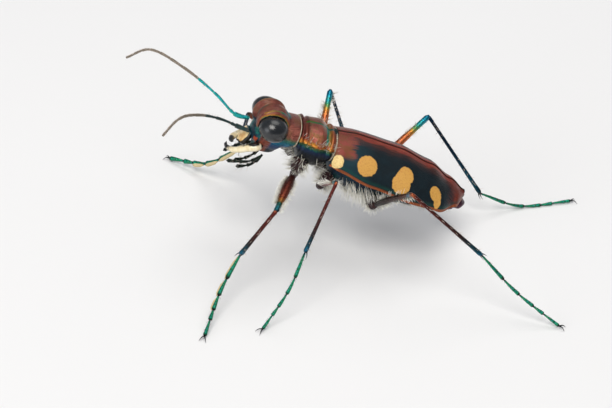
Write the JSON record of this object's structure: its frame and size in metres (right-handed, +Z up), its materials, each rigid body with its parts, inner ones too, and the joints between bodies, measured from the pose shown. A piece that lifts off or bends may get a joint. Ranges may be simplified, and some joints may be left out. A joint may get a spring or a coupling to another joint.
{
  "type": "tiger beetle",
  "caption": "Life-size long-legged ground beetle standing head raised, with crossed jaws, big side eyes, thread antennae and arched wing cases.",
  "frame": {"origin": "on the floor, under the middle of the box that holds the whole beetle", "axes": "+X towards the head, +Y towards the beetle's left side, +Z up"},
  "size_m": [0.0339, 0.0224, 0.0131],
  "materials": {
    "copper": "coppery metallic horn with green and gold rims",
    "eye": "smooth glossy dark grey",
    "ivory": "pale ivory horn with black edges",
    "mouth_black": "glossy black with a green sheen",
    "teal": "metallic teal",
    "dull_grey": "felted grey brown",
    "dark_blue": "metallic dark blue under white hair",
    "blue_black": "satin blue black with yellow spots and coppery edges",
    "leg_brown": "dark coppery horn",
    "foot_green": "metallic green with dark joints"
  },
  "bodies": {
    "root": {"head": "copper", "left_eye": "eye", "right_eye": "eye", "upper_lip": "ivory", "left_jaw": "ivory", "right_jaw": "ivory", "left_outer_palp": "mouth_black", "left_inner_palp": "mouth_black", "right_outer_palp": "mouth_black", "right_inner_palp": "mouth_black", "left_antenna_scape": "teal", "left_antenna_shaft": "teal", "left_antenna_lash": "dull_grey", "right_antenna_scape": "teal", "right_antenna_shaft": "teal", "right_antenna_lash": "dull_grey", "forebody": "copper", "chest": "dark_blue", "left_wing_case": "blue_black", "right_wing_case": "blue_black", "abdomen": "dark_blue", "left_front_coxa": "leg_brown", "left_front_thigh": "copper", "left_front_shin": "leg_brown", "left_front_foot": "foot_green", "left_middle_coxa": "leg_brown", "left_middle_thigh": "copper", "left_middle_shin": "leg_brown", "left_middle_foot": "foot_green", "left_hind_coxa": "leg_brown", "left_hind_thigh": "copper", "left_hind_shin": "leg_brown", "left_hind_foot": "foot_green", "right_front_coxa": "leg_brown", "right_front_thigh": "copper", "right_front_shin": "leg_brown", "right_front_foot": "foot_green", "right_middle_coxa": "leg_brown", "right_middle_thigh": "copper", "right_middle_shin": "leg_brown", "right_middle_foot": "foot_green", "right_hind_coxa": "leg_brown", "right_hind_thigh": "copper", "right_hind_shin": "leg_brown", "right_hind_foot": "foot_green"}
  },
  "joints": []
}
